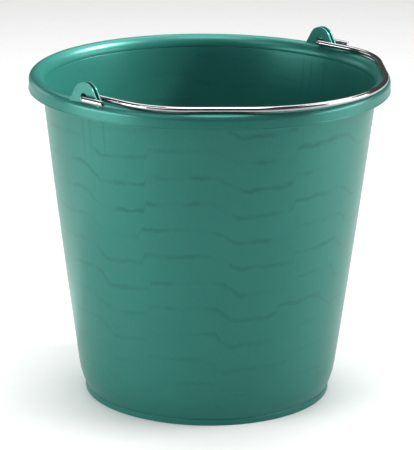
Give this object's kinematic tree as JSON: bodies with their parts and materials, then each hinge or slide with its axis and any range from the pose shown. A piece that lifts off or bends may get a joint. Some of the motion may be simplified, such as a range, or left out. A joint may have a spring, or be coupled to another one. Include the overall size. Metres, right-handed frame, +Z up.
{
  "type": "feed bucket",
  "caption": "Round tapered stable bucket with a foot ring, a rolled rim, two upright ears and a steel wire bail that swings over the mouth.",
  "frame": {"origin": "centre of the foot ring's flat underside, on the ground", "axes": "+Z up out of the mouth; the ears stand at -X and +X, so the bail's swing axis runs along X; the bail is at rest on the -Y half of the rim"},
  "size_m": [0.327, 0.3253, 0.3091],
  "materials": {
    "green_plastic": "pearlescent sea-green polypropylene, semi-gloss as moulded, with faint wavy flow marks",
    "bright_steel": "bright drawn and plated steel wire, smooth and glossy"
  },
  "bodies": {
    "tub": {"bucket": "green_plastic"},
    "handle": {"bail": "bright_steel"}
  },
  "joints": [
    {"name": "bail_swing", "type": "hinge", "parent": "tub", "child": "handle", "pos_m": [0, 0, 0.2955], "axis": [-1, 0, 0], "range_deg": [0, 180]}
  ]
}
